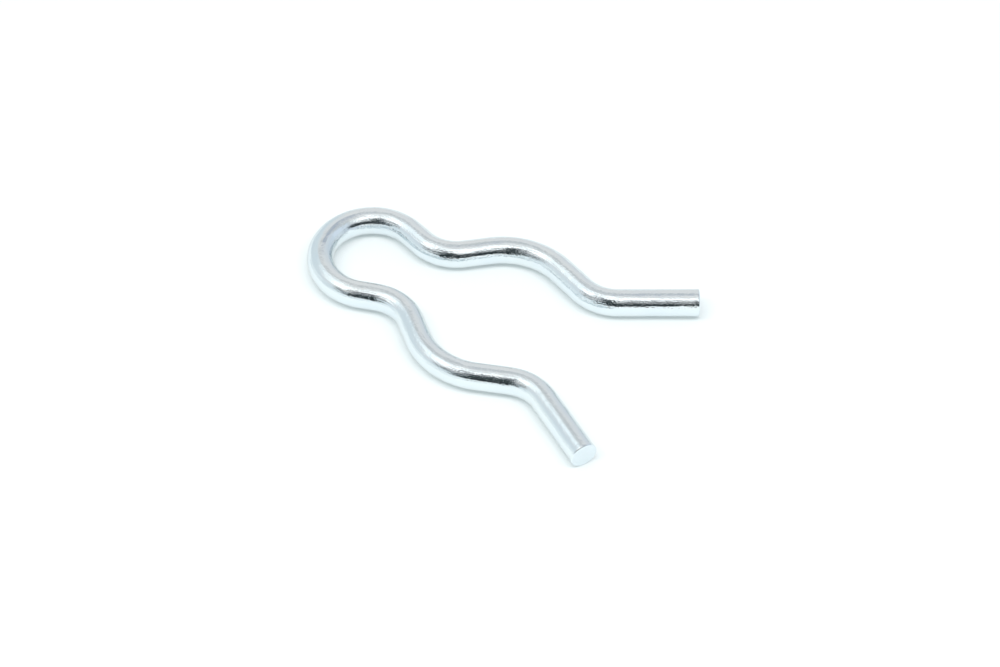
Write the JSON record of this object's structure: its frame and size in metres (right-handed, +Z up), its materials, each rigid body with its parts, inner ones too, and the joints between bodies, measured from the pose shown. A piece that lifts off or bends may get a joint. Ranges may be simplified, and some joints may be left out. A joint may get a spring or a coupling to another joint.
{
  "type": "hitch pin spring clip",
  "caption": "Flat spring clip bent from round zinc-plated wire. Its mirrored waved legs snap around the shaft of a hitch pin to keep the pin in, and its straight tips splay to guide it on.",
  "frame": {"origin": "on the axis of the pin that the clip holds, level with the crests of the two grips, in the plane that the clip lies on", "axes": "+X from the round head to the open tips, +Y to the left leg seen from above, +Z up through the wire's thickness and along the held pin"},
  "size_m": [0.0412, 0.027, 0.003],
  "materials": {
    "zinc_wire": "bright blue-white zinc plate on spring steel, mirror-like with fine draw lines"
  },
  "bodies": {
    "root": {"wire_clip": "zinc_wire"}
  },
  "joints": []
}
